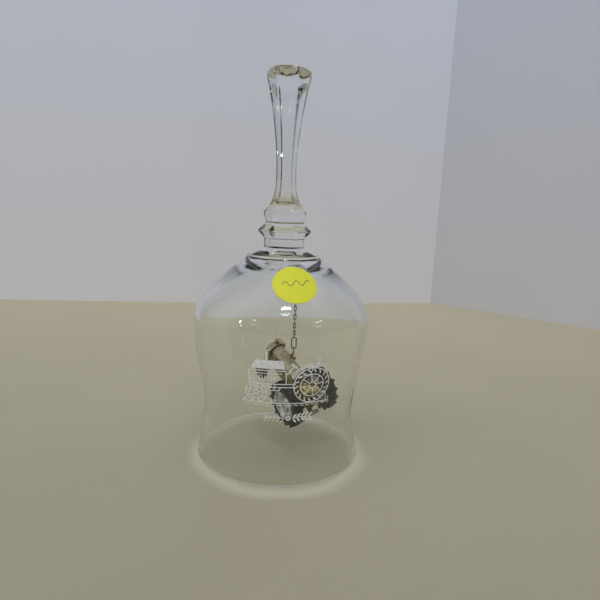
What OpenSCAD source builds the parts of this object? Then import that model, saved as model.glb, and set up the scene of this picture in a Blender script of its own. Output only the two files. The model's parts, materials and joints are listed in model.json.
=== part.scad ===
// A glass table bell with a six-sided handle. A miniature farm tractor hangs inside it on a fine
// chain and is its clapper. Millimetres, +Z up. The origin is on the table, in the centre of the lip.

/* [Bell] */
// Radius of the lip, at the table
lip_r = 38.7; // [37.7:0.1:40]
// Radius of the waist, the narrowest stretch above the lip
waist_r = 35.1; // [34.9:0.1:35.8]
// Height of the waist
waist_z = 19.5; // [17:0.5:21]
// Largest radius of the belly
belly_r = 39.95; // [39.3:0.05:41]
// Height of the widest stretch
belly_z = 62; // [60:0.5:63]
// Thickness of the glass wall
wall = 2.2; // [1.8:0.1:2.4]
// Height of the inner ceiling, above which the crown is solid
ceiling_z = 89.6; // [89.2:0.1:90]
// Height of the flat crown that carries the handle
crown_z = 97; // [96.5:0.1:97.5]

/* [Handle] */
// Turn of the six flats about the bell's axis, in degrees
handle_turn = -3; // [-30:1:30]
// Radius over the corners of the thin part of the stem
stem_r = 4.6; // [4:0.1:5.4]
// Radius over the corners of the flared top
knob_r = 9.9; // [9.5:0.1:11]

/* [Chain] */
// Wire diameter of the chain's small links
link_wire = 0.45; // [0.4:0.01:0.47]
// Distance from one small link to the next
link_pitch = 2.05; // [1.95:0.05:2.1]
// Distance of the chain from the bell's axis, towards +X
chain_x = 6.2; // [6:0.1:6.3]

/* [Tractor] */
// Heading of the tractor's nose from +X, in degrees
heading = 134; // [132:1:136]
// Upward tilt of the nose, in degrees
nose_up = 30; // [29:1:31]
// Downward lean of the tractor's left side, in degrees
lean_left = 14; // [13:1:15]
// Distance from the rear axle to the front axle
wheelbase = 25.5; // [25.3:0.1:25.7]
// Distance between the rear wheels' centres
rear_track = 20; // [19.8:0.1:20.2]
// Radius of a rear tyre, over its lugs
rear_r = 10.8; // [10.6:0.1:10.9]
// Radius of a front tyre
front_r = 3.6; // [3.4:0.1:3.6]

/* [Price sticker] */
// Radius of the round paper sticker
sticker_r = 9.2; // [7:0.1:10]

/* [Hidden] */
$fn = 48;

glass_colour = [0.85, 0.9, 0.88, 0.35];
brass_colour = [0.72, 0.58, 0.26];
steel_colour = [0.6, 0.6, 0.58];
disc_colour = [0.75, 0.76, 0.78];
tyre_colour = [0.06, 0.06, 0.06];

// One point of a cubic curve with four control points
function bend(p, t) =
  pow(1 - t, 3) * p[0] + 3 * t * pow(1 - t, 2) * p[1] + 3 * t * t * (1 - t) * p[2] + pow(t, 3) * p[3];
// The curve as steps points, without its first one
function curve(p, steps) = [for (i = [1 : steps]) bend(p, i / steps)];

// --- Bell -----------------------------------------------------------------------------------

// Outer radius below the belly: a flare up to the waist, then half a cosine wave to the belly
function side_r(z) = z < waist_z
  ? waist_r + (lip_r - waist_r) * pow((waist_z - z) / waist_z, 1.3)
  : waist_r + (belly_r - waist_r) * (1 - cos(180 * (z - waist_z) / (belly_z - waist_z))) / 2;

lip_round = 0.8;
side_step = 2;
shoulder_steps = 14;
shoulder_z = belly_z + 2;
shoulder_top = [20.5, 91.5];
crown_r = 10.2;

// The outer shoulder, moved inwards by g
function shoulder(g) = [
  [belly_r - g, shoulder_z], [belly_r - g, 74 - 0.5 * g],
  [33 - 0.75 * g, 80 - 0.75 * g], shoulder_top - [0.6 * g, g]
];

outer_side = [for (z = [side_step : side_step : belly_z]) [side_r(z), z]];
crown_fillet = [shoulder_top, [16.2, 94.2], [crown_r, 94], [crown_r, crown_z]];
inner_side = [for (z = [belly_z : -side_step : side_step]) [side_r(z) - wall, z]];
ceiling_flat_r = 10.6;
dome_edge = [20.5, 84.8];
inner_ceiling = [[ceiling_flat_r, ceiling_z], [13, ceiling_z - 1], [17, ceiling_z - 2.6], dome_edge];
inner_shoulder = [[belly_r - wall, shoulder_z], [belly_r - wall, 74 - 1.14 * wall],
                  [33 - 0.68 * wall, 80 - 0.91 * wall], dome_edge];

bowl_outline = concat(
  [[lip_r - wall / 2 - 0.4, 0], [lip_r - wall / 2 + 0.4, 0],
   [lip_r - 0.25, 0.25], [side_r(lip_round), lip_round]],
  outer_side,
  curve(shoulder(0), shoulder_steps),
  curve(crown_fillet, 6),
  [[0, crown_z]],
  [[0, ceiling_z], inner_ceiling[0]],
  curve(inner_ceiling, 5),
  [for (i = [shoulder_steps - 1 : -1 : 0]) bend(inner_shoulder, i / shoulder_steps)],
  inner_side,
  [[side_r(lip_round) - wall, lip_round], [lip_r - wall + 0.2, 0.25]]
);

module bell_bowl() {
  color(glass_colour) rotate_extrude($fn = 96) polygon(bowl_outline);
}

// Height and corner radius of each ring of the handle, from its foot to its domed top
neck_r = 9.4;
handle_outline = concat(
  [[0, crown_z], [neck_r, crown_z], [neck_r, 101.2], [12.4, 104.4], [9.1, 107.8], [8.9, 108.9],
   [9.2, 110], [10, 112.3], [8, 115.1], [7.5, 115.7]],
  curve([[7.5, 115.7], [stem_r + 0.4, 119.5], [stem_r, 124], [stem_r, 130.5]], 8),
  curve([[stem_r, 130.5], [stem_r, 141], [stem_r + 2.2, 157], [knob_r - 0.6, 167.5]], 10),
  [[knob_r, 170], [knob_r - 0.1, 171.4], [knob_r - 0.7, 172.7], [knob_r - 2, 173.8],
   [knob_r - 4, 174.6], [knob_r - 6.5, 175], [0, 175.1]]
);

module bell_handle() {
  color(glass_colour) rotate([0, 0, handle_turn]) rotate_extrude($fn = 6) polygon(handle_outline);
}

// --- Sticker --------------------------------------------------------------------------------

sticker_turn = 12.5;
sticker_tilt = 44;
sticker_centre_r = 28.36;
sticker_centre_z = 84.2;
sticker_gap = 0.02;
sticker_thick = 0.14;

// A disc cut out of a thin layer that follows the shoulder
module price_sticker() {
  color([0.88, 0.9, 0.1]) intersection() {
    rotate_extrude($fn = 96) polygon(concat(
      curve(shoulder(-sticker_gap), shoulder_steps),
      [for (i = [shoulder_steps : -1 : 1])
        bend(shoulder(-sticker_gap - sticker_thick), i / shoulder_steps)]));
    rotate([0, 0, sticker_turn]) translate([0, -sticker_centre_r, sticker_centre_z])
      rotate([sticker_tilt, 0, 0]) cylinder(h = 12, r = sticker_r, center = true);
  }
}

// --- Hanger and chain -----------------------------------------------------------------------

bend_r = link_wire / 2 + 0.3;
link_straight = link_pitch - bend_r;
links_a_group = 5;

eye_wire = 0.5;
eye_r = 0.9;
long_wire = 0.64;
long_r = 1.08;
long_straight = 3.4;
pendant_eye_wire = 0.6;
pendant_eye_r = 1;
wire_gap = 0.05;

// Heights of the five swing axes, from the lowest up
pivot_5 = 49.4;
long_top = pivot_5 + long_r + long_straight;
pivot_4 = long_top + long_r - (link_wire + long_wire) / 2 - wire_gap;
pivot_3 = pivot_4 + links_a_group * link_pitch;
pivot_2 = pivot_3 + links_a_group * link_pitch;
pivot_1 = pivot_2 + links_a_group * link_pitch;

// A closed loop of wire in the XZ plane. Its upper bend is centred on the origin.
module wire_loop(wire, radius, straight) {
  for (side = [0, 1])
    translate([0, 0, -side * straight]) rotate([90, side * 180, 0])
      rotate_extrude(angle = 180, $fn = 32) translate([radius, 0]) circle(d = wire, $fn = 16);
  if (straight > 0) for (side = [-1, 1])
    translate([side * radius, 0, -straight]) cylinder(h = straight, d = wire, $fn = 16);
}

// Small links, each hanging at right angles in the one above it
module chain_group(top, first_turn) {
  color(steel_colour) for (i = [0 : links_a_group - 1])
    translate([chain_x, 0, top - i * link_pitch])
      rotate([0, 0, first_turn + 90 * (i % 2)]) wire_loop(link_wire, bend_r, link_straight);
}

pad_r = 4;
pad_h = 0.8;

module hanger_pad() {
  color(steel_colour) translate([chain_x, 0, ceiling_z - pad_h]) cylinder(h = pad_h, r = pad_r);
}

module hanger_eye() {
  ring_z = pivot_1 + eye_r;
  color(steel_colour) translate([chain_x, 0, 0]) {
    translate([0, 0, ring_z]) rotate([90, 0, 0])
      rotate_extrude($fn = 32) translate([eye_r, 0]) circle(d = eye_wire, $fn = 16);
    translate([0, 0, ring_z + eye_r]) cylinder(h = ceiling_z - pad_h - ring_z - eye_r, r = 0.4);
  }
}

module chain_upper() { chain_group(pivot_1, 90); }
module chain_middle() { chain_group(pivot_2, 0); }
module chain_lower() { chain_group(pivot_3, 90); }

module long_link() {
  color(steel_colour) translate([chain_x, 0, long_top])
    wire_loop(long_wire, long_r, long_straight);
}

// --- Tractor --------------------------------------------------------------------------------
// Its own frame: the origin is in the centre of the rear axle, +X forward, +Y left, +Z up.

// It hangs from a point straight above its centre of mass
mass_centre = [10, 0, 2.05];
hang_height = 14.1;
upward = [sin(nose_up), -cos(nose_up) * sin(lean_left), cos(nose_up) * cos(lean_left)];
hang_point = mass_centre + hang_height * upward;
hood_top_z = 9.8;
deck_z = 4.4;
shell_foot_z = -1.9;
beam_half = 0.75;

module place_tractor() {
  translate([chain_x, 0, pivot_5]) rotate([-lean_left, -nose_up, heading])
    translate(-hang_point) children();
}

axle_r = 0.8;
running_gap = 0.05;
housing_end = rear_track / 2 - 3.1;
front_axle_z = -7.2;
stub_r = 0.55;
front_wheel_y = 6.4;

// A bar along Y
module cross_bar(x, z, length, radius) {
  translate([x, 0, z]) rotate([90, 0, 0]) cylinder(h = length, r = radius, center = true);
}

// A side outline in X and Z, as thick as width along Y
module side_slab(outline, width) {
  rotate([90, 0, 0]) linear_extrude(height = width, center = true) polygon(outline);
}

// A front outline in Y and Z, drawn from x0 to x1
module front_slab(outline, x0, x1) {
  translate([x0, 0, 0]) rotate([90, 0, 90]) linear_extrude(height = x1 - x0) polygon(outline);
}

// The casting that holds the rear axle, with its two trumpets and their bolted flanges
module transmission() {
  color(brass_colour) place_tractor() difference() {
    union() {
      side_slab([[-3.4, -3.6], [9, -3.4], [9, deck_z], [-4, deck_z], [-4.2, 4.2], [-4.2, -2.6]], 5.4);
      translate([-6.2, 0, -0.6]) rotate([0, 90, 0]) cylinder(h = 2.4, r = 2.5);
      translate([-6.6, 0, -0.6]) rotate([0, 90, 0]) cylinder(h = 0.6, r = 1);
      cross_bar(0, 0, 2 * housing_end, 2.1);
      for (side = [-1, 1]) {
        translate([0, side * 3.3, 0]) rotate([90, 0, 0]) cylinder(h = 0.9, r = 3.1, center = true);
        translate([0, side * (housing_end - 0.4), 0]) rotate([90, 0, 0])
          cylinder(h = 0.8, r = 2.6, center = true);
      }
    }
    cross_bar(0, 0, 2 * housing_end + 2, axle_r + running_gap);
  }
}

rib_count = 5;
rib_pitch = 2.1;

// The engine, with cooling ribs on both sides and an oil pan below
module engine_block() {
  color(brass_colour) place_tractor() {
    side_slab([[9, -3], [20, -3], [20.8, -2.2], [20.8, deck_z], [9, deck_z]], 5);
    side_slab([[10, -4.2], [18.4, -4.2], [19.2, -3], [10, -3]], 3.6);
    for (i = [0 : rib_count - 1])
      translate([10.6 + i * rib_pitch, 0, 1.4]) cube([0.9, 5.9, 4.4], center = true);
    cross_bar(12, -1.9, 5.9, 0.7);
    cross_bar(17, -1.9, 5.9, 0.7);
  }
}

hood_half = 3.5;
louvre_count = 6;

// The hood: flat sides with louvres under a ridged top
module hood() {
  color(brass_colour) place_tractor() difference() {
    front_slab([[-hood_half, deck_z], [hood_half, deck_z], [hood_half, 7.6], [2.2, 9.2], [0, hood_top_z],
                [-2.2, 9.2], [-hood_half, 7.6]], 6.4, 24.4);
    for (side = [-1, 1], i = [0 : louvre_count - 1])
      translate([10 + 2 * i, side * hood_half, 6.1]) cube([0.8, 0.5, 1.8], center = true);
  }
}

// The dash panel between the hood and the driver
module cowl() {
  color(brass_colour) place_tractor()
    front_slab([[-3.9, deck_z], [3.9, deck_z], [3.9, 8], [2.4, 9.9], [0, 10.5], [-2.4, 9.9], [-3.9, 8]], 5.2, 6.35);
}

bar_count = 7;
shell_half = 4.7;

// The radiator shell, open at the front round its upright bars
module radiator_shell() {
  color(brass_colour) place_tractor() {
    difference() {
      front_slab([[-shell_half + 0.6, shell_foot_z], [shell_half - 0.6, shell_foot_z], [shell_half, -1], [shell_half, 8.2],
                  [2.9, 10], [0, 10.7], [-2.9, 10], [-shell_half, 8.2], [-shell_half, -1]], 24.45, 27.4);
      translate([27.4, 0, 3.2]) cube([3, 7, 8.4], center = true);
    }
    for (i = [0 : bar_count - 1])
      translate([26.3, (i - (bar_count - 1) / 2) * 0.95, 3.2]) cube([1, 0.4, 8.5], center = true);
  }
}

module radiator_cap() {
  color(brass_colour) place_tractor() translate([25.9, 0, 10.45]) {
    cylinder(h = 1.1, r = 0.7);
    translate([0, 0, 1.1]) cylinder(h = 0.7, r = 1.15);
    translate([0, 0, 1.8]) cylinder(h = 0.35, r = 0.5);
  }
}

column_foot = [5.2, 0, 8];
column_tilt = -42;
column_length = 4.9;
column_root = 0.5;
wheel_rim_r = 2.5;

module steering_column() {
  color(steel_colour) place_tractor() translate(column_foot) rotate([0, column_tilt, 0])
    translate([0, 0, -column_root]) cylinder(h = column_length + column_root, r = 0.42);
}

// Rim, three spokes and a hub that sits on the end of the column
module steering_wheel() {
  color(tyre_colour) place_tractor() translate(column_foot) rotate([0, column_tilt, 0])
    translate([0, 0, column_length]) {
      cylinder(h = 0.8, r = 0.8);
      translate([0, 0, 0.4]) {
        rotate_extrude($fn = 32) translate([wheel_rim_r, 0]) circle(r = 0.38, $fn = 16);
        for (i = [0 : 2]) rotate([0, 90, 120 * i]) cylinder(h = wheel_rim_r, r = 0.22);
      }
    }
}

seat_x = -3.1;
seat_z = 8.3;

module seat_post() {
  color(steel_colour) place_tractor() translate([seat_x, 0, deck_z]) {
    cylinder(h = 0.5, r = 1.1);
    cylinder(h = seat_z - deck_z, r = 0.5);
  }
}

// A dished pan with a raised back
module seat() {
  color(brass_colour) place_tractor() translate([seat_x, 0, seat_z]) difference() {
    union() {
      cylinder(h = 1.2, r1 = 2.2, r2 = 3);
      intersection() {
        cylinder(h = 2.6, r = 3);
        translate([-4.2, 0, 1.3]) cube([4.4, 8, 3], center = true);
      }
    }
    translate([0, 0, 0.6]) cylinder(h = 3, r = 2.4);
  }
}

// A flat bar with a cross plate at its rear end
module drawbar() {
  color(steel_colour) place_tractor() difference() {
    union() {
      translate([-8.4, -1, -4.4]) cube([10.4, 2, 0.75]);
      translate([-9, -3.4, -4.4]) cube([1.7, 6.8, 0.75]);
    }
    for (y = [-2.4, 0, 2.4]) translate([-8.15, y, -5]) cylinder(h = 2, r = 0.4);
  }
}

module front_pedestal() {
  color(brass_colour) place_tractor()
    front_slab([[-1.5, front_axle_z + beam_half], [1.5, front_axle_z + beam_half], [2.3, shell_foot_z],
                [-2.3, shell_foot_z]],
               wheelbase - 0.9, wheelbase + 1.2);
}

// A beam with a turned stub and a peened head at each end
module front_axle() {
  color(brass_colour) place_tractor() translate([wheelbase, 0, front_axle_z]) {
    cube([1.8, 2 * front_wheel_y - 3.4, 2 * beam_half], center = true);
    rotate([90, 0, 0]) cylinder(h = 2 * front_wheel_y + 3.7, r = stub_r, center = true);
    for (side = [-1, 1])
      translate([0, side * (front_wheel_y + 1.85), 0]) rotate([90, 0, 0])
        cylinder(h = 0.5, r = 0.9, center = true);
  }
}

module rear_axle() {
  color(steel_colour) place_tractor() cross_bar(0, 0, rear_track + 4.4, axle_r);
}

// --- Wheels ---------------------------------------------------------------------------------
// A wheel is drawn with its axis along Z and its outer face up.

module on_rear_axle(side) {
  place_tractor() translate([0, side * rear_track / 2, 0]) rotate([-side * 90, 0, 0]) children();
}

module on_front_axle(side) {
  place_tractor() translate([wheelbase, side * front_wheel_y, front_axle_z])
    rotate([-side * 90, 0, 0]) children();
}

rim_r = 6.9;
seat_gap = 0.02;
bore_r = axle_r + seat_gap / 2;
bolt_count = 6;

// A dished metal disc inside a rolled rim, bolted round its hub
module rear_disc() {
  color(disc_colour) {
    rotate_extrude($fn = 64) polygon([
      [bore_r, -2.7], [1.9, -2.7], [1.9, -0.6], [rim_r - 1.4, 0.5], [rim_r - 0.8, 0.3],
      [rim_r - 0.8, -1.9], [rim_r - seat_gap, -2.1], [rim_r - seat_gap, 2.2], [rim_r - 0.7, 2],
      [rim_r - 1, 1.2], [rim_r - 1.6, 1.3], [2.9, 0.3], [2.1, 0.9], [1.5, 1.9], [bore_r, 1.9]]);
    for (i = [0 : bolt_count - 1]) rotate([0, 0, 360 / bolt_count * i]) translate([3.5, 0, 0]) cylinder(h = 1, r = 0.4);
  }
}

lug_count = 16;
lug_h = 0.55;
tyre_half = 2.2;

// A tyre with two rows of slanted lugs, each row half a step round from the other
module rear_tyre() {
  body_r = rear_r - lug_h;
  color(tyre_colour) {
    rotate_extrude($fn = 64) polygon([
      [rim_r, -1.9], [rim_r + 0.5, -tyre_half - 0.1], [body_r - 1.2, -tyre_half - 0.1],
      [body_r - 0.3, -tyre_half + 0.4], [body_r, 0], [body_r - 0.3, tyre_half - 0.4],
      [body_r - 1.2, tyre_half + 0.1], [rim_r + 0.5, tyre_half + 0.1], [rim_r, 1.9]]);
    for (row = [-1, 1], i = [0 : lug_count - 1])
      rotate([0, 0, (i + row / 4) * 360 / lug_count]) translate([body_r - 0.1, 0, row * 1.08])
        rotate([row * 30, 0, 0]) cube([2 * lug_h + 0.2, 1.05, 2.5], center = true);
  }
}

front_rim_r = 2.2;

module front_disc() {
  color(disc_colour) rotate_extrude($fn = 48) polygon([
    [stub_r + running_gap, -1.5], [1.1, -1.5], [1.2, -0.5], [front_rim_r - seat_gap, -1],
    [front_rim_r - seat_gap, 1], [1.8, 0.9], [1.4, 0.4], [1.1, 1.4], [stub_r + running_gap, 1.4]]);
}

// A narrow tyre with a raised middle rib
module front_tyre() {
  color(tyre_colour) rotate_extrude($fn = 48) polygon([
    [front_rim_r, -1], [2.6, -1.5], [front_r - 0.5, -1.5], [front_r - 0.15, -1.05],
    [front_r - 0.15, -0.4], [front_r, -0.3], [front_r, 0.3], [front_r - 0.15, 0.4],
    [front_r - 0.15, 1.05], [front_r - 0.5, 1.5], [2.6, 1.5], [front_rim_r, 1]]);
}

module rear_disc_left() { on_rear_axle(1) rear_disc(); }
module rear_disc_right() { on_rear_axle(-1) rear_disc(); }
module rear_tyre_left() { on_rear_axle(1) rear_tyre(); }
module rear_tyre_right() { on_rear_axle(-1) rear_tyre(); }
module front_disc_left() { on_front_axle(1) front_disc(); }
module front_disc_right() { on_front_axle(-1) front_disc(); }
module front_tyre_left() { on_front_axle(1) front_tyre(); }
module front_tyre_right() { on_front_axle(-1) front_tyre(); }

// A ring that hangs in the long link, its wire leg and the domed boss on the hood
module pendant_eye() {
  ring_drop = pendant_eye_r - (long_wire + pendant_eye_wire) / 2 - wire_gap;
  leg_top = hang_point - (ring_drop + pendant_eye_r) * upward;
  leg_length = leg_top[2] - 7.6;
  color(brass_colour) {
    translate([chain_x, 0, pivot_5 - ring_drop]) rotate([0, 90, 0])
      rotate_extrude($fn = 32) translate([pendant_eye_r, 0]) circle(d = pendant_eye_wire, $fn = 16);
    place_tractor() translate(leg_top - [0, 0, leg_length]) {
      cylinder(h = leg_length, r = 0.45);
      translate([0, 0, 0.7]) cylinder(h = 1.1, r1 = 2.2, r2 = 1.1);
    }
  }
}

bell_bowl();
bell_handle();
price_sticker();
hanger_pad();
hanger_eye();
chain_upper();
chain_middle();
chain_lower();
long_link();
pendant_eye();
transmission();
engine_block();
hood();
cowl();
radiator_shell();
radiator_cap();
steering_column();
steering_wheel();
seat_post();
seat();
drawbar();
front_pedestal();
front_axle();
rear_axle();
rear_disc_left();
rear_disc_right();
rear_tyre_left();
rear_tyre_right();
front_disc_left();
front_disc_right();
front_tyre_left();
front_tyre_right();
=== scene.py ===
"""A clear glass table bell with a miniature farm tractor hung inside it as its clapper.

The bell's sizes are in millimetres, in the CAD's own frame, and become metres where a mesh is
made. The stage, lamps and camera are in metres. +Z is up, the origin is on the table in the
centre of the lip, and -Y is the front.
"""
import json
import math

import bmesh
import bpy
from mathutils import Matrix, Vector
from mathutils.bvhtree import BVHTree


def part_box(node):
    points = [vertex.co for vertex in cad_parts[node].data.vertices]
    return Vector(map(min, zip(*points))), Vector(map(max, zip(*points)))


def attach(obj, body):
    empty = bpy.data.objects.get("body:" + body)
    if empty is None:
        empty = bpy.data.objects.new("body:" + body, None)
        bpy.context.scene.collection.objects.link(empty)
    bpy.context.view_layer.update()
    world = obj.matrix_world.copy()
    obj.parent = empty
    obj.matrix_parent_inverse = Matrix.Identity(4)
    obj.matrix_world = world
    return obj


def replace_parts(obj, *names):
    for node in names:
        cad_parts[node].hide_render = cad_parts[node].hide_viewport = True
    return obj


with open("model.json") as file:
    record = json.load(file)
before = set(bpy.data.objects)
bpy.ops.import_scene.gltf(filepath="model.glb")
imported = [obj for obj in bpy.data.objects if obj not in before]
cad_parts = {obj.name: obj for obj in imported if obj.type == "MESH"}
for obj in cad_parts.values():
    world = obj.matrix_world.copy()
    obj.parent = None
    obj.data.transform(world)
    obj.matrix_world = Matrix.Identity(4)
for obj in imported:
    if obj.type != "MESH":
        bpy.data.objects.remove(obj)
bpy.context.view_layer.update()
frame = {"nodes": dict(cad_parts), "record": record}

MM = 0.001
NODES = frame["nodes"]


# --- Small helpers --------------------------------------------------------------------------


def bezier(points, t):
    """The point at t on a cubic curve with four control points."""
    a, b, c, d = (Vector(p) for p in points)
    return a * (1 - t) ** 3 + b * 3 * t * (1 - t) ** 2 + c * 3 * t * t * (1 - t) + d * t**3


def curve(points, steps):
    """The curve as steps points, without its first one."""
    return [bezier(points, i / steps) for i in range(1, steps + 1)]


def link(piece):
    bpy.context.scene.collection.objects.link(piece)
    return piece


def build(name, vertices, faces, material, body, smooth=True, sharp=None):
    """A piece made from millimetre vertices that rides on a body. sharp is in degrees: edges
    that bend more stay sharp.
    """
    mesh = bpy.data.meshes.new(name)
    mesh.from_pydata([Vector(v) * MM for v in vertices], [], faces)
    mesh.validate()
    mesh.polygons.foreach_set("use_smooth", [smooth] * len(mesh.polygons))
    work = bmesh.new()
    work.from_mesh(mesh)
    bmesh.ops.recalc_face_normals(work, faces=work.faces)
    work.to_mesh(mesh)
    work.free()
    if sharp is not None:
        mesh.set_sharp_from_angle(angle=math.radians(sharp))
    piece = link(bpy.data.objects.new(name, mesh))
    mesh.materials.append(material)
    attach(piece, body)
    return piece


def rings(loops, closed=False):
    """Vertices and faces of a skin over rings with the same number of points. A closed one
    joins its last ring to its first, and an open one is capped at both ends.
    """
    count = len(loops[0])
    vertices = [point for loop in loops for point in loop]
    faces = []
    last = len(loops) if closed else len(loops) - 1
    for i in range(last):
        a, b = i * count, (i + 1) % len(loops) * count
        faces += [(a + j, a + (j + 1) % count, b + (j + 1) % count, b + j) for j in range(count)]
    if not closed:
        faces.append(tuple(range(count))[::-1])
        faces.append(tuple(range((len(loops) - 1) * count, len(loops) * count)))
    return vertices, faces


# --- Materials ------------------------------------------------------------------------------


def add_node(tree, kind, inputs=None, **settings):
    """A new shader node. inputs: a number, colour or vector to set, or a socket to link."""
    node = tree.nodes.new("ShaderNode" + kind)
    for key, value in settings.items():
        setattr(node, key, value)
    for key, value in (inputs or {}).items():
        if isinstance(value, bpy.types.NodeSocket):
            tree.links.new(value, node.inputs[key])
        else:
            node.inputs[key].default_value = value
    return node


class Nodes:
    """Builds one material's node tree with short calls."""

    def __init__(self, name):
        self.material = bpy.data.materials.new(name)
        self.material.use_nodes = True
        self.tree = self.material.node_tree
        self.tree.nodes.clear()
        self.out = self.tree.nodes.new("ShaderNodeOutputMaterial")

    def add(self, kind, inputs=None, **settings):
        return add_node(self.tree, kind, inputs, **settings)

    def noise(self, vector, scale, detail=4.0, rough=0.55, distortion=0.0):
        node = self.add("TexNoise", {"Vector": vector, "Scale": scale, "Detail": detail,
                                     "Roughness": rough, "Distortion": distortion})
        return node.outputs["Fac"]

    def ramp(self, factor, stops):
        """stops: (position, colour or grey) pairs."""
        node = self.add("ValToRGB", {"Fac": factor})
        while len(node.color_ramp.elements) < len(stops):
            node.color_ramp.elements.new(0.5)
        for element, (position, colour) in zip(node.color_ramp.elements, stops):
            element.position = position
            element.color = (colour,) * 3 + (1,) if isinstance(colour, float) else (*colour, 1)
        return node.outputs["Color"]

    def span(self, value, low, high):
        """value, from 0 to 1, as a number from low to high."""
        return self.add("MapRange", {"Value": value, "To Min": low, "To Max": high}).outputs[0]

    def maths(self, operation, *values):
        node = self.add("Math", dict(enumerate(values)), operation=operation)
        return node.outputs[0]

    def mix(self, factor, a, b, blend="MIX"):
        node = self.add("Mix", data_type="RGBA", blend_type=blend)
        for socket, value in ((node.inputs[0], factor), (node.inputs[6], a), (node.inputs[7], b)):
            if isinstance(value, bpy.types.NodeSocket):
                self.tree.links.new(value, socket)
            else:
                socket.default_value = value if isinstance(value, float) else (*value, 1)
        return node.outputs[2]

    def bump(self, height, strength, distance):
        """distance is in metres."""
        node = self.add("Bump", {"Height": height, "Strength": strength, "Distance": distance})
        return node.outputs["Normal"]

    def finish(self, shader):
        self.tree.links.new(shader, self.out.inputs["Surface"])
        return self.material


SODA_GLASS_IOR = 1.51
LAMP_TINT = (0.84, 0.845, 0.83, 1)


def clear_glass():
    """Soda glass: faint waves, and smudges that show only as a change of gloss. Lamps shine
    through it, tinted once at each surface.
    """
    n = Nodes("clear_glass")
    where = n.add("TexCoord").outputs["Object"]
    waves = n.noise(where, 55, 2, 0.4)
    smudges = n.ramp(n.noise(where, 120, 5, 0.6, 0.6), [(0.5, 0.0), (0.75, 1.0)])
    glass = n.add("BsdfPrincipled", {
        "Base Color": (0.985, 0.995, 0.985, 1), "Roughness": n.span(smudges, 0.0, 0.045),
        "IOR": SODA_GLASS_IOR, "Transmission Weight": 1.0,
        "Normal": n.bump(waves, 0.12, 0.0006)}).outputs[0]
    through = n.add("BsdfTransparent", {"Color": LAMP_TINT}).outputs[0]
    from_lamp = n.add("LightPath").outputs["Is Shadow Ray"]
    return n.finish(n.add("MixShader", {0: from_lamp, 1: glass, 2: through}).outputs[0])


def antique_brass(name, tones):
    """Cast brass with an aged plating and painted shade in its recesses. tones: dark, middle and
    worn.
    """
    n = Nodes(name)
    where = n.add("TexCoord").outputs["Object"]
    # Painted shade: ambient occlusion darkens the colour in recesses.
    recess_shade = n.add("AmbientOcclusion", {"Distance": 0.0022}, samples=8).outputs["AO"]
    mottle = n.noise(where, 700, 6, 0.62, 0.3)
    base = n.ramp(mottle, list(zip((0.34, 0.5, 0.68), tones)))
    shaded = n.mix(n.ramp(recess_shade, [(0.4, 0.0), (0.92, 1.0)]), (0.022, 0.016, 0.009), base)
    grain = n.noise(where, 3800, 3, 0.6)
    return n.finish(n.add("BsdfPrincipled", {
        "Base Color": shaded, "Metallic": 0.9, "Roughness": n.span(mottle, 0.40, 0.22),
        "Normal": n.bump(grain, 0.3, 0.00008)}).outputs[0])


def chain_steel():
    """Plated wire, a little dull, with painted shade where the links meet."""
    n = Nodes("chain_steel")
    where = n.add("TexCoord").outputs["Object"]
    # Painted shade: ambient occlusion darkens the colour between the links.
    recess_shade = n.add("AmbientOcclusion", {"Distance": 0.0008}, samples=8).outputs["AO"]
    spots = n.noise(where, 2200, 5, 0.6)
    base = n.ramp(spots, [(0.35, (0.15, 0.145, 0.135)), (0.7, (0.42, 0.41, 0.39))])
    shaded = n.mix(n.ramp(recess_shade, [(0.3, 0.0), (0.9, 1.0)]), (0.03, 0.028, 0.025), base)
    return n.finish(n.add("BsdfPrincipled", {
        "Base Color": shaded, "Metallic": 1.0, "Roughness": n.span(spots, 0.22, 0.42),
        "Normal": n.bump(spots, 0.2, 0.00005)}).outputs[0])


def silver_disc():
    """Bright pressed metal with faint concentric marks and dull stains."""
    n = Nodes("silver_disc")
    where = n.add("TexCoord").outputs["Object"]
    stains = n.noise(where, 320, 5, 0.6, 0.6)
    base = n.ramp(stains, [(0.32, (0.34, 0.37, 0.41)), (0.62, (0.88, 0.91, 0.95))])
    # Painted shade: ambient occlusion darkens the colour in hollows.
    recess_shade = n.add("AmbientOcclusion", {"Distance": 0.001}, samples=8).outputs["AO"]
    shaded = n.mix(n.ramp(recess_shade, [(0.2, 0.0), (0.7, 1.0)]), (0.09, 0.09, 0.1), base)
    return n.finish(n.add("BsdfPrincipled", {
        "Base Color": shaded, "Metallic": 1.0, "Roughness": n.span(stains, 0.16, 0.30),
        "Normal": n.bump(n.noise(where, 1800, 3), 0.1, 0.00004)}).outputs[0])


def black_rubber():
    """Moulded black plastic rubber with a little grey dust."""
    n = Nodes("black_rubber")
    where = n.add("TexCoord").outputs["Object"]
    dust = n.ramp(n.noise(where, 500, 6, 0.62), [(0.45, 0.0), (0.75, 1.0)])
    base = n.mix(dust, (0.004, 0.004, 0.005), (0.014, 0.0135, 0.0125))
    grain = n.noise(where, 3000, 4, 0.6)
    return n.finish(n.add("BsdfPrincipled", {
        "Base Color": base, "Roughness": n.span(dust, 0.42, 0.66), "Specular IOR Level": 0.25,
        "Normal": n.bump(grain, 0.3, 0.00008)}).outputs[0])


def yellow_paper():
    """Fluorescent yellow sticker paper with fine fibres."""
    n = Nodes("yellow_paper")
    where = n.add("TexCoord").outputs["Object"]
    fibres = n.noise(where, 2400, 5, 0.7)
    patches = n.noise(where, 160, 3)
    base = n.mix(n.span(patches, 0.0, 1.0), (0.66, 0.68, 0.030), (0.74, 0.75, 0.045))
    base = n.mix(n.ramp(fibres, [(0.4, 0.0), (0.8, 1.0)]), base, (0.58, 0.60, 0.035))
    return n.finish(n.add("BsdfPrincipled", {
        "Base Color": base, "Roughness": 0.62, "Specular IOR Level": 0.35,
        "Normal": n.bump(fibres, 0.35, 0.00006)}).outputs[0])


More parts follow.
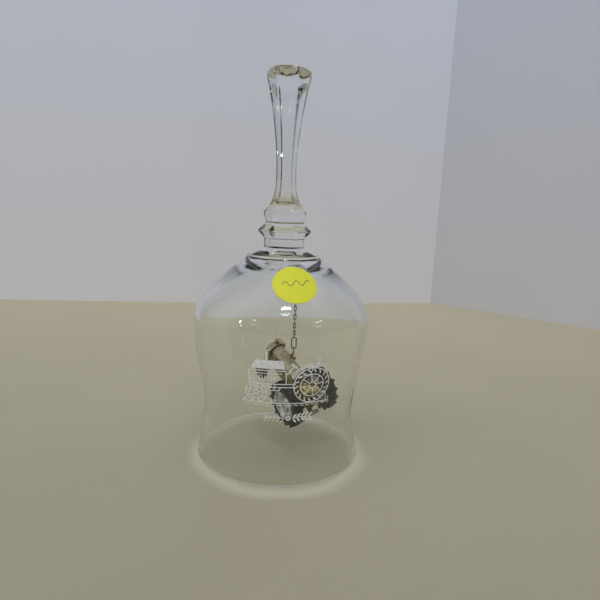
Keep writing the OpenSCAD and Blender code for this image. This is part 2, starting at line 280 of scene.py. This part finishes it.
def white_enamel():
    """Fired white screen print: a little uneven, so some of it looks thin."""
    n = Nodes("white_enamel")
    where = n.add("TexCoord").outputs["Object"]
    cover = n.noise(where, 1400, 5, 0.65)
    base = n.ramp(cover, [(0.3, (0.56, 0.57, 0.56)), (0.6, (0.80, 0.80, 0.79))])
    return n.finish(n.add("BsdfPrincipled", {
        "Base Color": base, "Roughness": n.span(cover, 0.4, 0.6),
        "Normal": n.bump(cover, 0.3, 0.00004)}).outputs[0])


def pen_ink():
    """Dark grey ballpoint, thinner where it skips."""
    n = Nodes("pen_ink")
    where = n.add("TexCoord").outputs["Object"]
    skips = n.noise(where, 3000, 4)
    base = n.ramp(skips, [(0.35, (0.12, 0.12, 0.10)), (0.65, (0.04, 0.04, 0.045))])
    return n.finish(n.add("BsdfPrincipled", {"Base Color": base, "Roughness": 0.5}).outputs[0])


GLASS = clear_glass()
BRASS = antique_brass(
    "antique_brass", [(0.05, 0.035, 0.012), (0.32, 0.24, 0.07), (0.78, 0.64, 0.28)])
# A paler copy of the brass for the hood, cowl and radiator shell: painted light, so these parts
# look more brightly lit.
PAINTED_LIT_BRASS = antique_brass(
    "painted_lit_brass", [(0.24, 0.21, 0.13), (0.35, 0.31, 0.20), (0.50, 0.45, 0.31)])
STEEL = chain_steel()
DISC = silver_disc()
RUBBER = black_rubber()
PAPER = yellow_paper()
ENAMEL = white_enamel()
PEN = pen_ink()

SLOT_MATERIALS = {"clear_glass": GLASS, "antique_brass": BRASS, "chain_steel": STEEL,
                  "silver_disc": DISC, "black_rubber": RUBBER, "yellow_paper": PAPER}
SLOT_OF = {part["node"]: part["material_slot"] for part in frame["record"]["subparts"]}
# The parts that take the paler brass with its painted light.
PAINTED_LIT_NODES = {"hood", "cowl", "radiator_shell"}
ROUNDED_SLOTS = ("antique_brass", "black_rubber", "silver_disc")
SHARP_ABOVE = math.radians(32)
ROUNDED_ABOVE = math.radians(40)
EDGE_ROUNDING = 0.12 * MM
for node_name, node in NODES.items():
    node.data.materials.clear()
    finish = PAINTED_LIT_BRASS if node_name in PAINTED_LIT_NODES else SLOT_MATERIALS[SLOT_OF[node_name]]
    node.data.materials.append(finish)
    node.data.set_sharp_from_angle(angle=SHARP_ABOVE)
    if SLOT_OF[node_name] in ROUNDED_SLOTS:
        rounding = node.modifiers.new("cast_edges", "BEVEL")
        rounding.width = EDGE_ROUNDING
        rounding.segments = 2
        rounding.limit_method = "ANGLE"
        rounding.angle_limit = ROUNDED_ABOVE


# --- The glass ------------------------------------------------------------------------------

# Radii and heights of the bell's profile.
LIP_R = 38.7
WAIST_R = 35.1
WAIST_Z = 19.5
BELLY_R = 39.95
BELLY_Z = 62.0
WALL = 2.2
LIP_ROUND = 1.3
LIP_SET_BACK = 0.05
FLARE_POWER = 1.3
CEILING_Z = 89.6
CEILING_FLAT_R = 10.6
SHOULDER_Z = BELLY_Z + 2
SHOULDER_TOP = (21.0, 89.8)
# Points round each ring, and the bend in degrees that counts as an edge.
AROUND = 192
GLASS_SHARP_ABOVE = 50


def side_radius(z):
    """Outer radius below the belly: a flare up to the waist, then half a cosine wave."""
    if z < WAIST_Z:
        return WAIST_R + (LIP_R - WAIST_R) * ((WAIST_Z - z) / WAIST_Z) ** FLARE_POWER
    wave = (1 - math.cos(math.pi * (z - WAIST_Z) / (BELLY_Z - WAIST_Z))) / 2
    return WAIST_R + (BELLY_R - WAIST_R) * wave


# Cubic curves, as four control points of radius and height.
SHOULDER = [(BELLY_R, SHOULDER_Z), (BELLY_R, 74), (33, 80), SHOULDER_TOP]
INNER_SHOULDER = [(BELLY_R - WALL, SHOULDER_Z), (BELLY_R - WALL, 71.5), (31.5, 78), (20.5, 84.8)]
INNER_CEILING = [(CEILING_FLAT_R, CEILING_Z), (13, 88.6), (17, 87), INNER_SHOULDER[3]]
CROWN_FILLET = [SHOULDER_TOP, (18.6, 91.2), (17.0, 92.0), (16.4, 93.3)]
CROWN_EDGE = [CROWN_FILLET[3], (16.0, 94.7), (13.5, 95.4), (9.6, 96.8)]


def bell_profile():
    """The wall from the centre of the ceiling, down inside, round the lip and up outside."""
    steps = 28
    inside = [Vector((r, CEILING_Z)) for r in (0.01, 3, 6, 9, CEILING_FLAT_R)]
    inside += curve(INNER_CEILING, 8)
    inside += [bezier(INNER_SHOULDER, 1 - i / steps) for i in range(1, steps + 1)]
    heights = [BELLY_Z - i for i in range(0, int(BELLY_Z) - 1)]
    inside += [Vector((side_radius(z) - WALL, z)) for z in heights]
    middle = LIP_R - WALL / 2 - LIP_SET_BACK
    turns = [math.pi * i / 20 for i in range(21)]
    lip = [Vector((middle - WALL / 2 * math.cos(a), LIP_ROUND * (1 - math.sin(a))))
           for a in turns]
    outside = [Vector((side_radius(z), z)) for z in reversed(heights)]
    outside += [Vector(SHOULDER[0])] + curve(SHOULDER, steps)
    outside += curve(CROWN_FILLET, 10) + curve(CROWN_EDGE, 12)
    return inside + lip + outside


NECK_R = 9.4
STEM_R = 4.6
KNOB_R = 9.9
STEM_FOOT_Z = 114.0
FACETS_FADE_Z = 168.0
HANDLE_TOP = 175.05
HANDLE_TURN = math.radians(-3)
FLATS = 6
FLAT_ANGLE = 360 / FLATS
# How sharp the corners are, how hollow the flats, and how fast the hollow fades at its ends.
FACET_SHARPNESS = 30
FACET_HOLLOW = 0.045
HOLLOW_FADE = 6
# The round section that the top melts towards, and how far it gets.
ROUND_SHARE = 0.96
MOST_MELTED = 0.75


def handle_profile():
    """Corner radius and height of the handle's rings, from its foot to its domed top."""
    collar = [(NECK_R, 97.05), (NECK_R, 97.6), (NECK_R, 99.4), (NECK_R, 100.9), (9.55, 101.3),
              (10.2, 101.9), (11.3, 103.0), (12.15, 103.9), (12.4, 104.4), (12.1, 104.95),
              (11.2, 105.8), (10.1, 106.8), (9.3, 107.6), (9.0, 108.1), (8.9, 108.7), (9.0, 109.4),
              (9.4, 110.4), (9.85, 111.5), (10, 112.2), (9.85, 112.8), (9.2, 113.8), (8.3, 114.9),
              (7.75, 115.5)]
    stem = curve([(7.5, 115.8), (STEM_R + 0.4, 119.5), (STEM_R, 124), (STEM_R, 130.5)], 16)
    flare = curve([(STEM_R, 130.5), (STEM_R, 141), (STEM_R + 2.2, 157), (KNOB_R - 0.6, 167.5)], 30)
    rim = curve([flare[-1], (KNOB_R - 0.15, 168.4), (KNOB_R, 170.2), (KNOB_R, 171.2)], 6)
    edge = curve([rim[-1], (KNOB_R, 172.5), (KNOB_R - 0.9, 173.0), (KNOB_R - 2.2, 173.4)], 8)
    dome = curve([edge[-1], (5.2, 174.3), (2.6, HANDLE_TOP), (0.9, HANDLE_TOP)], 12)
    return [Vector(p) for p in collar] + stem + flare + rim + edge + dome


def unit(value):
    """value, held between 0 and 1."""
    return min(max(value, 0), 1)


def facet_share(angle, z):
    """How far out the six-sided section reaches, as a share of its corner. The top is rounder."""
    half = FLAT_ANGLE / 2
    flats = sum(abs(math.cos(angle + math.radians(half + FLAT_ANGLE * k))) ** FACET_SHARPNESS
                for k in range(FLATS // 2))
    faceted = math.cos(math.radians(half)) / flats ** (1 / FACET_SHARPNESS)
    across = (math.degrees(angle) % FLAT_ANGLE - half) / half
    stem = unit((z - STEM_FOOT_Z) / HOLLOW_FADE) * unit((FACETS_FADE_Z - z) / HOLLOW_FADE)
    faceted -= FACET_HOLLOW * stem * (1 - across * across)
    melted = MOST_MELTED * unit((z - FACETS_FADE_Z) / (HANDLE_TOP - FACETS_FADE_Z))
    return faceted + (ROUND_SHARE - faceted) * melted


def bell_glass():
    """Bowl and handle as one fused glass body."""
    angles = [2 * math.pi * j / AROUND for j in range(AROUND)]
    loops = [[(p.x * math.cos(a), p.x * math.sin(a), p.y) for a in angles]
             for p in bell_profile()]
    for p in handle_profile():
        reach = [p.x * facet_share(a - HANDLE_TURN, p.y) for a in angles]
        loops.append([(r * math.cos(a), r * math.sin(a), p.y) for r, a in zip(reach, angles)])
    vertices, faces = rings(loops)
    piece = build("bell_glass", vertices, faces, GLASS, "bell",
                  sharp=GLASS_SHARP_ABOVE)
    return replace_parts(piece, "bell_bowl", "bell_handle")


bell_glass()


# --- White print on the belly, and pen on the sticker ----------------------------------------


def dense(points, step=1.2):
    """The polyline with no segment longer than step."""
    line = [Vector(points[0])]
    for a, b in zip(points, points[1:]):
        a, b = Vector(a), Vector(b)
        count = max(1, math.ceil((b - a).length / step))
        line += [a + (b - a) * i / count for i in range(1, count + 1)]
    return line


def arc(centre, radius, start, end, steps):
    """Points on an arc, angles in degrees from +u, anticlockwise."""
    turns = [math.radians(start + (end - start) * i / steps) for i in range(steps + 1)]
    return [(centre[0] + radius * math.cos(t), centre[1] + radius * math.sin(t)) for t in turns]


def spot(centre, radius, turn):
    """The point at one angle on a circle."""
    return arc(centre, radius, turn, turn, 1)[0]


def circle(centre, radius, steps):
    """Points round a whole circle, without the first one again."""
    return arc(centre, radius, 0, 360, steps)[:-1]


# How far ink floats off its surface, and how wide a patch's cells may be.
INK_GAP = 0.004
PATCH_CELL = 1.5


class Ink:
    """Thin closed strokes and patches that lie on a surface, gathered into one mesh."""

    def __init__(self, surface, thickness, width):
        self.surface, self.thickness, self.width = surface, thickness, width
        self.vertices, self.faces = [], []

    def _take(self, loops, closed=False):
        vertices, faces = rings(loops, closed)
        start = len(self.vertices)
        self.vertices += vertices
        self.faces += [tuple(i + start for i in face) for face in faces]

    def _section(self, left, right):
        low, high = INK_GAP, INK_GAP + self.thickness
        return [self.surface(*left, low), self.surface(*right, low),
                self.surface(*right, high), self.surface(*left, high)]

    def stroke(self, points, width=None, closed=False):
        """A line of even width through the points."""
        line = dense(points + points[:1] if closed else points)
        if closed:
            line = line[:-1]
        half = (width or self.width) / 2
        loops = []
        for i, here in enumerate(line):
            before = line[i - 1] if closed or i else here
            after = line[(i + 1) % len(line)] if closed or i < len(line) - 1 else here
            along = (after - before).normalized()
            side = Vector((-along.y, along.x)) * half
            loops.append(self._section(here + side, here - side))
        self._take(loops, closed)

    def patch(self, left_edge, right_edge, steps=8):
        """A filled strip between two edges with the same number of points."""
        left, right = Vector(left_edge[0]), Vector(right_edge[0])
        rows = [(left, right)]
        for a, b in zip(left_edge[1:], right_edge[1:]):
            a, b = Vector(a), Vector(b)
            left, right = rows[-1]
            rows += [(left + (a - left) * i / steps, right + (b - right) * i / steps)
                     for i in range(1, steps + 1)]
        widest = max((right - left).length for left, right in rows)
        across = max(2, math.ceil(widest / PATCH_CELL) + 1)
        loops = []
        for left, right in rows:
            places = [left + (right - left) * i / (across - 1) for i in range(across)]
            high = INK_GAP + self.thickness
            loops.append([self.surface(*p, INK_GAP) for p in places]
                         + [self.surface(*p, high) for p in reversed(places)])
        self._take(loops)

    def finish(self, name, material, slot):
        return build(name, self.vertices, self.faces, material, "bell", smooth=False)


# Where the middle of the print faces, the radius its widths are laid out on, its ground line.
PRINT_TURN = math.radians(7.2)
PRINT_ACROSS = 37.5
PRINT_LOW = 36.0
PRINT_THICKNESS = 0.03
PRINT_LINE = 0.42
THIN_LINE = 0.36


def on_belly(u, v, lift):
    """A point on the glass, u round from the middle of the print, v up from its ground line."""
    z = PRINT_LOW + v
    radius = side_radius(min(z, BELLY_Z)) + lift
    turn = PRINT_TURN + u / PRINT_ACROSS
    return Vector((radius * math.sin(turn), -radius * math.cos(turn), z))


def wheel(ink, centre, radius, rim, hub, spokes, lugs):
    """A spoked wheel in side view with a ring of lug marks."""
    for reach, steps in ((radius, 40), (rim, 32), (hub, 12)):
        ink.stroke(circle(centre, reach, steps), closed=True)
    slant = 9
    for k in range(spokes):
        turn = 360 * k / spokes + slant
        ink.stroke([spot(centre, hub, turn), spot(centre, rim, turn)])
    for k in range(lugs):
        turn = 360 * k / lugs
        inner = spot(centre, rim + 0.35 * (radius - rim), turn)
        ink.stroke([inner, spot(centre, radius - 0.3, turn + slant)], 0.55)


def belly_print():
    """A plain line drawing of a farm tractor in side view, nose to the left."""
    ink = Ink(on_belly, PRINT_THICKNESS, PRINT_LINE)
    rear = (10.0, 8.6)
    wheel(ink, rear, 7.6, 4.9, 1.4, 8, 18)
    wheel(ink, (-12.6, 5.4), 4.4, 2.9, 0.8, 5, 9)
    # Hood: a solid top, side lines, louvres and a grille.
    ink.patch([(-14.6, 16.0), (-12.6, 19.6)], [(-1.2, 16.0), (-2.0, 19.6)])
    ink.stroke([(-15.2, 9.6), (-15.2, 15.2), (-1.0, 15.2), (-0.6, 9.6)])
    ink.stroke([(-14.2, 14.0), (-2.2, 14.0)], 0.32)
    for k in range(7):
        ink.stroke([(-11.2 + 1.15 * k, 11.0), (-11.2 + 1.15 * k, 13.1)], THIN_LINE)
    for k in range(3):
        ink.stroke([(-14.6 + 0.75 * k, 10.2), (-14.6 + 0.75 * k, 13.4)], 0.3)
    # Frame, engine and steps.
    ink.stroke([(-15.6, 9.4), (3.2, 9.4)])
    ink.stroke([(-8.2, 8.0), (2.6, 8.0)])
    ink.stroke([(-7.6, 9.2), (-7.0, 6.6), (-3.4, 6.6), (-2.8, 8.0)])
    ink.stroke([(-13.4, 9.2), (-12.6, 6.2)])
    ink.stroke([(-5.6, 6.4), (-5.0, 9.2)], THIN_LINE)
    # Exhaust stack and air cleaner.
    ink.patch([(-8.9, 19.7), (-8.7, 23.2)], [(-8.0, 19.7), (-8.0, 23.2)], 3)
    ink.stroke([(-8.9, 23.3), (-7.2, 24.1)])
    # Steering wheel, column and seat.
    ink.stroke([(-0.4, 13.6), (2.0, 17.2)], 0.5)
    ink.stroke([(0.9, 18.3), (3.4, 16.4)], 0.8)
    ink.patch([(7.6, 15.9), (12.0, 16.2), (12.9, 20.0)],
              [(7.6, 17.0), (11.0, 17.3), (11.8, 20.2)], 3)
    ink.stroke([(9.6, 15.9), (8.8, 13.6), (3.0, 12.4)])
    # Rear fender.
    ink.stroke(arc(rear, 8.7, 12, 158, 26))
    ink.stroke(arc(rear, 9.5, 16, 150, 26))
    ink.stroke([(18.3, 10.6), (19.2, 11.2)])
    ink.stroke([(2.0, 11.9), (1.7, 13.2)])
    # Ground, with short blades.
    ink.stroke([(-19.0, 0.9), (19.0, 0.5)])
    for k in range(16):
        foot = -18.4 + 2.4 * k
        ink.stroke([(foot, -0.1), (foot + 1.5, -0.35)], 0.34)
    for foot in (-18.2, -17.4, -6.4, -5.7, -5.0, 18.2):
        ink.stroke([(foot, 1.0), (foot + 0.3, 2.6)], 0.34)
    return ink.finish("belly_print", ENAMEL, "white_enamel")


def sprig(ink, centre, hand):
    """A curved stem with pairs of small leaves, drawn outwards from the centre. hand is 1 for
    the right one and -1 for the left.
    """
    segments = 10
    stem = [(centre[0] + hand * (1.9 + 0.88 * k),
             centre[1] + 0.55 * math.sin(math.pi * k / segments)) for k in range(segments + 1)]
    for k, foot in enumerate(stem):
        if k:
            ink.stroke([stem[k - 1], foot], 0.4)
        if k % 2 == 0 and k < segments:
            for rise in (-1, 1):
                tip = (foot[0] + hand * 1.7, foot[1] + rise * 2.1)
                middle = ((tip[0] + foot[0]) / 2, (tip[1] + foot[1]) / 2)
                ink.patch([foot, (middle[0] - 0.34, middle[1] + 0.3 * rise), tip],
                          [(foot[0] + 0.1, foot[1]), (middle[0] + 0.5, middle[1] - 0.2 * rise),
                           (tip[0] + 0.1, tip[1])], 2)


def belly_ornament():
    """Two leafy sprigs and a dot, low on the front."""
    ink = Ink(on_belly, PRINT_THICKNESS, PRINT_LINE)
    centre = (0.9, -6.2)
    sprig(ink, centre, -1)
    sprig(ink, centre, 1)
    ink.stroke(circle(centre, 0.85, 12), 0.5, closed=True)
    return ink.finish("belly_ornament", ENAMEL, "white_enamel")


belly_print()
belly_ornament()

sticker_mesh = NODES["price_sticker"].data
STICKER = BVHTree.FromPolygons([v.co for v in sticker_mesh.vertices],
                               [tuple(p.vertices) for p in sticker_mesh.polygons])
sticker_low, sticker_high = (Vector(c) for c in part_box("price_sticker"))
STICKER_MIDDLE = (sticker_low + sticker_high) / 2
STICKER_RISE = 0.022
STICKER_OUT = Vector((STICKER_MIDDLE.x, STICKER_MIDDLE.y, STICKER_RISE)).normalized()
STICKER_RIGHT = Vector((0, 0, 1)).cross(STICKER_OUT).normalized()
STICKER_UP = STICKER_OUT.cross(STICKER_RIGHT)


def on_sticker(u, v, lift):
    """A point on the sticker's outer face, in millimetres."""
    above = STICKER_OUT * 20 * MM
    start = STICKER_MIDDLE + (STICKER_RIGHT * u + STICKER_UP * v) * MM + above
    place = STICKER.ray_cast(start, -STICKER_OUT)[0]
    return (place + STICKER_OUT * lift * MM) / MM


def pen_line():
    """A meaningless wavy pen stroke."""
    ink = Ink(on_sticker, 0.02, 0.3)
    length, steps = 11.3, 74
    places = [length * i / steps for i in range(steps + 1)]
    ink.stroke([(u - 5.2, 0.1 + 0.08 * u + 1.25 * math.sin(1.35 * u)) for u in places])
    return ink.finish("pen_line", PEN, "black_rubber")


pen_line()


# --- Stage, camera and lights ---------------------------------------------------------------

# The table's colour at the front and at the back: painted shade towards the front, painted light
# towards the back.
FLOOR_NEAR = (0.318, 0.298, 0.22)
FLOOR_FAR = (0.60, 0.555, 0.405)
FLOOR_LEFT, FLOOR_RIGHT, FLOOR_FRONT, FLOOR_BACK = -1.8, 1.8, -1.3, 0.9
# The painted ring of light round the lip: its middle, how far it wavers, its colour and strength,
# and its reach. The reach is in tenths of a metre, with how bright the ring is there.
RING_MIDDLE = (0.001, -0.0035, 0)
RING_WAVER = 0.006
RING_COLOUR = (0.72, 0.69, 0.56)
RING_STRENGTH = 0.42
RING_REACH = [(0.365, 0.0), (0.415, 1.0), (0.47, 0.0)]

BACKDROP_LOW = (0.68, 0.675, 0.71)
BACKDROP_HIGH = (0.66, 0.705, 0.84)
BACKDROP_TOP = 0.45
# The backdrop's foot from left to right. From the strip FOLDED on it is the darker side, with
# painted shade.
SEAM = [(-0.44, 0.313), (-0.231, 0.3364), (-0.120, 0.352), (0.101, 0.394),
        (0.185, 0.4116), (0.2547, 0.3538), (0.42, 0.217)]
FOLDED = 4
SHADED_SIDE_SHARE = 0.83


def floor_material():
    """Pale table top, painted darker at the front and lighter at the back, with a painted ring of
    light round the lip for the light that the glass gathers.
    """
    n = Nodes("floor")
    where = n.add("TexCoord").outputs["Object"]
    cloudy = n.noise(where, 9, 5, 0.6)
    fine = n.noise(where, 260, 3, 0.6)
    split = n.add("SeparateXYZ", {0: where})
    # Painted light and shade: the table's colour runs from darker at the front to lighter at the
    # back.
    depth = n.add("MapRange", {"Value": split.outputs["Y"], "From Min": -0.25, "From Max": 0.42})
    base = n.ramp(depth.outputs[0], [(0.0, FLOOR_NEAR), (1.0, FLOOR_FAR)])
    dull = n.mix(1.0, base, (0.94, 0.94, 0.93), "MULTIPLY")
    base = n.mix(n.ramp(cloudy, [(0.3, 0.0), (0.7, 1.0)]), dull, base)
    base = n.mix(n.ramp(fine, [(0.3, 0.06), (0.7, 0.0)]), base, (0.3, 0.27, 0.2))
    # Painted light: a pale ring round the lip, mixed into the table's colour.
    offset = n.add("VectorMath", {0: where, 1: RING_MIDDLE}, operation="SUBTRACT")
    away = n.add("VectorMath", {0: offset.outputs["Vector"]}, operation="LENGTH").outputs["Value"]
    reach = n.maths("MULTIPLY_ADD", n.noise(where, 40, 2), RING_WAVER, away)
    ring = n.ramp(n.maths("MULTIPLY", reach, 10.0), RING_REACH)
    lit = n.mix(n.maths("MULTIPLY", ring, RING_STRENGTH), base, RING_COLOUR)
    return n.finish(n.add("BsdfPrincipled", {
        "Base Color": lit, "Roughness": 0.62, "Specular IOR Level": 0.3,
        "Normal": n.bump(fine, 0.15, 0.0003)}).outputs[0])


def backdrop_material(name, share):
    """Smooth painted board, cooler towards its top. share darkens it with painted shade."""
    n = Nodes(name)
    where = n.add("TexCoord").outputs["Object"]
    split = n.add("SeparateXYZ", {0: where})
    low, high = (tuple(c * share for c in colour) for colour in (BACKDROP_LOW, BACKDROP_HIGH))
    base = n.ramp(n.maths("MULTIPLY", split.outputs["Z"], 1.6), [(0.0, low), (0.6, high)])
    base = n.mix(n.ramp(n.noise(where, 4, 3), [(0.35, 0.0), (0.65, 0.05)]), base, (0.4, 0.4, 0.42))
    return n.finish(n.add("BsdfPrincipled", {"Base Color": base, "Roughness": 0.85}).outputs[0])


floor_mesh = bpy.data.meshes.new("floor")
floor_mesh.from_pydata([(FLOOR_LEFT, FLOOR_FRONT, 0), (FLOOR_RIGHT, FLOOR_FRONT, 0),
                        (FLOOR_RIGHT, FLOOR_BACK, 0), (FLOOR_LEFT, FLOOR_BACK, 0)],
                       [], [(0, 1, 2, 3)])
floor_mesh.materials.append(floor_material())
link(bpy.data.objects.new("floor", floor_mesh))

backdrop_mesh = bpy.data.meshes.new("backdrop")
count = len(SEAM)
backdrop_mesh.from_pydata([(x, y, z) for z in (0, BACKDROP_TOP) for x, y in SEAM], [],
                          [(i, i + 1, count + i + 1, count + i) for i in range(count - 1)])
backdrop_mesh.materials.append(backdrop_material("backdrop", 1.0))
# The side beyond the fold takes a darker copy: painted shade.
backdrop_mesh.materials.append(backdrop_material("backdrop_shaded_side", SHADED_SIDE_SHARE))
for i, strip in enumerate(backdrop_mesh.polygons):
    strip.material_index = int(i >= FOLDED)
link(bpy.data.objects.new("backdrop", backdrop_mesh))


def area_light(name, location, target, size, energy, colour=(1, 1, 1)):
    """An oval lamp that faces its target."""
    lamp = bpy.data.lights.new(name, "AREA")
    lamp.shape = "ELLIPSE"
    lamp.size, lamp.size_y = size
    lamp.energy = energy
    lamp.color = colour
    lamp_object = link(bpy.data.objects.new(name, lamp))
    lamp_object.location = location
    aim = Vector(target) - Vector(location)
    lamp_object.rotation_euler = aim.to_track_quat("-Z", "Y").to_euler()


BELLY = (0, 0, 0.07)
COOL = (0.95, 0.97, 1)
area_light("ceiling_panel", (0.13, -0.69, 1.28), (0.05, -0.3, 0), (0.27, 0.14), 3.4)
area_light("side_strip", (-0.90, -0.70, 0.45), BELLY, (0.05, 0.16), 0.9, (0.9, 0.95, 1))
area_light("side_streak", (0.78, -0.62, 0.52), BELLY, (0.20, 0.03), 0.30, COOL)
area_light("window_streak", (-0.62, -0.80, 0.60), BELLY, (0.22, 0.02), 0.25, COOL)

# The room's light rises from ROOM_LOW to ROOM_HIGH as a direction's Z goes from DIM_BELOW to
# BRIGHT_ABOVE.
ROOM_LOW, DIM_BELOW = 0.42, -0.1
ROOM_HIGH, BRIGHT_ABOVE = 0.95, 0.75
# Where the room is darker: direction, cosines where the patch is full and gone, share of light,
# and whether it is dark only in reflections. The camera doesn't see any of them directly.
DARK_PATCHES = [((0.95, 0.25, 0.10), 0.90, 0.25, 0.22, False),
                ((-0.55, 0.65, 0.50), 0.92, 0.55, 0.30, False),
                ((0.0, -1.0, 0.20), 0.80, 0.05, 0.05, True)]

world = bpy.data.worlds.new("room")
bpy.context.scene.world = world
world.use_nodes = True
room = world.node_tree


def room_node(kind, inputs=None, **settings):
    return add_node(room, kind, inputs, **settings)


def room_maths(operation, a, b):
    return room_node("Math", {0: a, 1: b}, operation=operation).outputs[0]


def room_patch(facing, inner, outer):
    """1 near a direction, fading to 0 between the cosines inner and outer."""
    facing = Vector(facing).normalized()
    near = room_node("VectorMath", {0: direction, 1: facing}, operation="DOT_PRODUCT")
    fade = room_node("MapRange", {"Value": near.outputs["Value"], "From Min": outer,
                                  "From Max": inner}, interpolation_type="SMOOTHSTEP")
    return fade.outputs[0]


direction = room_node("TexCoord").outputs["Generated"]
split = room_node("SeparateXYZ", {0: direction})
light = room_node("MapRange", {"Value": split.outputs["Z"],
                               "From Min": DIM_BELOW, "From Max": BRIGHT_ABOVE,
                               "To Min": ROOM_LOW, "To Max": ROOM_HIGH}).outputs[0]
path = room_node("LightPath").outputs
indirect = room_maths("SUBTRACT", 1.0, path["Is Camera Ray"])
for facing, inner, outer, share, only_reflected in DARK_PATCHES:
    rays = path["Is Glossy Ray"] if only_reflected else indirect
    patch = room_maths("MULTIPLY", room_patch(facing, inner, outer), rays)
    keep = room_node("MapRange", {"Value": patch, "To Min": 1.0, "To Max": share}).outputs[0]
    light = room_maths("MULTIPLY", light, keep)
colour = room_node("CombineColor", {0: light, 1: light, 2: light})
room.links.new(colour.outputs[0], room.nodes["Background"].inputs["Color"])

# Fitted to the yardstick on the table and the bell's outline.
CAMERA_PLACE = (0.00832, -0.21594, 0.11255)
CAMERA_PITCH = math.radians(10.43)
CAMERA_ROLL = math.radians(-2.27)
CAMERA_LENS = 28.2

camera_data = bpy.data.cameras.new("camera")
camera_data.lens = CAMERA_LENS
camera_data.sensor_width = 36
camera_data.clip_start = 0.005
camera = link(bpy.data.objects.new("camera", camera_data))
forward = Vector((0, math.cos(CAMERA_PITCH), -math.sin(CAMERA_PITCH)))
level = Vector((1, 0, 0))
down = forward.cross(level)
right = level * math.cos(CAMERA_ROLL) + down * math.sin(CAMERA_ROLL)
up = level * math.sin(CAMERA_ROLL) - down * math.cos(CAMERA_ROLL)
camera.matrix_world = (Matrix.Translation(CAMERA_PLACE)
                       @ Matrix((right, up, -forward)).transposed().to_4x4())
bpy.context.scene.camera = camera
bpy.context.scene.view_settings.view_transform = "Standard"
